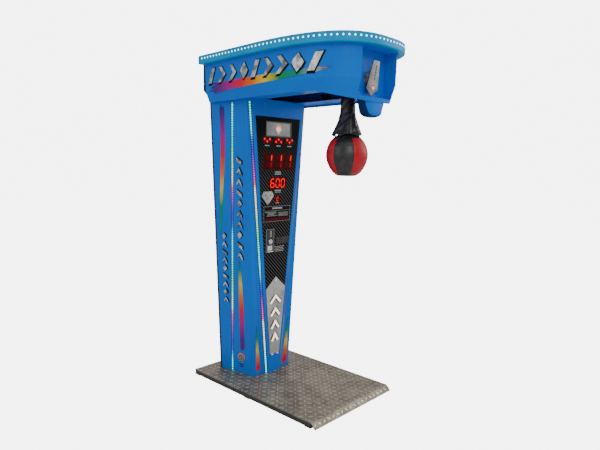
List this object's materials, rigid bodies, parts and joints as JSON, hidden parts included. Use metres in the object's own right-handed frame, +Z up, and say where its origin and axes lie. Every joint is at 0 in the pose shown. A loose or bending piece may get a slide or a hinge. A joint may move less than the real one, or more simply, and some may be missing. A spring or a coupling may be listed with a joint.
{
  "type": "boxing punch machine",
  "caption": "Free-standing coin-operated strength tester: tread-plate base, leaning light-strip column with displays, overhanging head with a swinging leather punch ball.",
  "frame": {"origin": "centre of the machine's plan box, on the floor", "axes": "+Z up, +X across the machine, the player stands on the -Y side"},
  "size_m": [0.85, 1.3809, 2.278],
  "materials": {
    "blue_gloss": "glossy blue gel coat",
    "black_board": "black laminated board",
    "black_paint": "black powder coat",
    "tread_steel": "raised tread pattern, worn",
    "rubber": "matt",
    "frame_steel": "grey primer",
    "rim_cyan": "translucent cyan, lit from inside",
    "led_light": "frosted light strip",
    "channel_black": "black profile",
    "panel_black": "striped black laminate",
    "screen": "display glass",
    "red_display": "red lit display",
    "silver": "brushed silver",
    "black_metal": "satin black with a worn edge",
    "chrome": "polished",
    "steel": "turned steel",
    "leather": "sewn leather",
    "motif_light": "warm lit acrylic",
    "board_green": "circuit board",
    "zinc": "galvanised sheet"
  },
  "bodies": {
    "machine": {"base_frame": "black_paint", "tread_plate": "tread_steel", "base_feet": "rubber", "column_shell": "blue_gloss", "back_board": "black_board", "service_hinge": "steel", "mains_inlet": "channel_black", "lcd_screen": "screen", "score_display": "red_display", "record_display": "red_display", "credit_display": "red_display", "display_panel": "panel_black", "player_lamps": "red_display", "lcd_bezel": "black_metal", "diamond_badge": "silver", "validator_blank": "black_metal", "coin_faceplate": "black_metal", "coin_mech": "zinc", "cash_hinge": "steel", "cash_box": "zinc", "head_shell": "blue_gloss", "head_pan": "black_paint", "speaker": "black_metal", "roof_panel": "blue_gloss", "rim_lip": "rim_cyan", "rim_led_strip": "led_light", "emblem_boss": "silver", "emblem_plate": "silver", "chin_guard": "blue_gloss", "inner_frame": "frame_steel", "power_supply": "zinc", "control_board": "board_green", "pivot_bearings": "frame_steel", "speed_sensor": "channel_black", "arm_stop": "rubber", "latch_bracket": "steel", "latch_solenoid": "zinc", "side_led_channel_left": "channel_black", "side_led_strip_left": "led_light", "side_led_channel_right": "channel_black", "side_led_strip_right": "led_light", "front_led_channel_left": "channel_black", "front_led_strip_left": "led_light", "front_led_channel_right": "channel_black", "front_led_strip_right": "led_light"},
    "arm": {"pivot_shaft": "steel", "arm_hub": "frame_steel", "arm_tube": "steel", "punch_ball": "leather", "leather_sleeve": "leather", "sensor_vane": "steel"},
    "hook": {"latch_hook": "steel"},
    "plunger": {"solenoid_plunger": "steel"},
    "reject_button": {"coin_reject_button": "chrome"},
    "return_flap": {"coin_return_flap": "chrome"},
    "front_door": {"cash_door": "silver", "door_motif": "motif_light"},
    "front_lock": {"cash_lock": "chrome"},
    "rear_door": {"service_door": "black_board"},
    "rear_lock": {"service_lock": "chrome"}
  },
  "joints": [
    {"name": "arm_swing", "type": "hinge", "parent": "machine", "child": "arm", "pos_m": [0, -0.3915, 2.08], "axis": [1, 0, 0], "range_deg": [-10, 88]},
    {"name": "hook_turn", "type": "hinge", "parent": "machine", "child": "hook", "pos_m": [0, -0.44, 2.17], "axis": [1, 0, 0], "range_deg": [0, 35]},
    {"name": "plunger_slide", "type": "slide", "parent": "machine", "child": "plunger", "axis": [0, -1, 0], "range_m": [0, 0.01577]},
    {"name": "reject_button_push", "type": "slide", "parent": "machine", "child": "reject_button", "axis": [0, 0.9998, 0.0193], "range_m": [0, 0.004], "stiffness_N_per_m": 400, "springref_m": -0.002},
    {"name": "return_flap_swing", "type": "hinge", "parent": "machine", "child": "return_flap", "pos_m": [-0.064, 0.23135, 0.97921], "axis": [1, 0, 0], "range_deg": [0, 50]},
    {"name": "front_door_swing", "type": "hinge", "parent": "machine", "child": "front_door", "pos_m": [0, 0.24648, 0.16785], "axis": [1, 0, 0], "range_deg": [0, 95]},
    {"name": "front_lock_turn", "type": "hinge", "parent": "front_door", "child": "front_lock", "pos_m": [0, 0.23792, 0.71579], "axis": [0, -0.9998, -0.0193], "range_deg": [0, 90]},
    {"name": "rear_door_swing", "type": "hinge", "parent": "machine", "child": "rear_door", "pos_m": [-0.152, 0.5905, 0.95], "axis": [0, 0, 1], "range_deg": [0, 110]},
    {"name": "rear_lock_turn", "type": "hinge", "parent": "rear_door", "child": "rear_lock", "pos_m": [0.12, 0.5865, 0.95], "axis": [0, -1, 0], "range_deg": [0, 90]}
  ],
  "couplings": [
    {"joint": "plunger_slide", "follows": "hook_turn", "m_per_rad": 0.025808}
  ]
}
